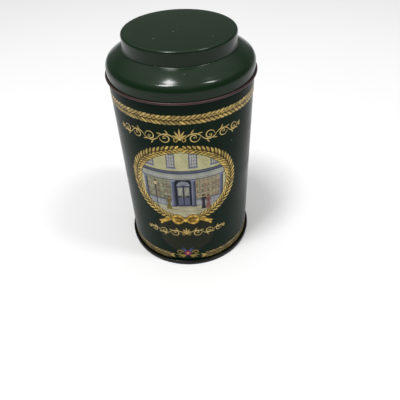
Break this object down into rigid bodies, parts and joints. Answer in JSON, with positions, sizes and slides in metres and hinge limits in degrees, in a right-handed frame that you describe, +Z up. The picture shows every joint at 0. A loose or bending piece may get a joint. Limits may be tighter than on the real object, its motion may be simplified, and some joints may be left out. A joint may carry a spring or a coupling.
{
  "type": "tea caddy tin",
  "caption": "Round printed tinplate tea caddy with a seamed bottom, a press-in inner lid and a stepped slip lid.",
  "frame": {"origin": "centre of the base ring, on the surface the tin stands on", "axes": "+Z up along the axis of the tin, -Y towards the printed front, +Y towards the side seam"},
  "size_m": [0.0888, 0.0888, 0.1497],
  "materials": {
    "body_print": "gloss",
    "base_lacquer": "gloss",
    "tinplate": "satin",
    "lid_lacquer": "gloss"
  },
  "bodies": {
    "tin": {"body_wall": "body_print", "base_end": "base_lacquer"},
    "inner_lid": {"inner_lid": "tinplate"},
    "lid": {"lid_shell": "lid_lacquer"}
  },
  "joints": [
    {"name": "lid_lift", "type": "slide", "parent": "tin", "child": "lid", "axis": [0, 0, 1], "range_m": [0, 0.08]},
    {"name": "inner_lid_lift", "type": "slide", "parent": "tin", "child": "inner_lid", "axis": [0, 0, 1], "range_m": [0, 0.04]}
  ],
  "couplings": [
    {"joint": "inner_lid_lift", "follows": "lid_lift", "ratio": 0.5}
  ]
}
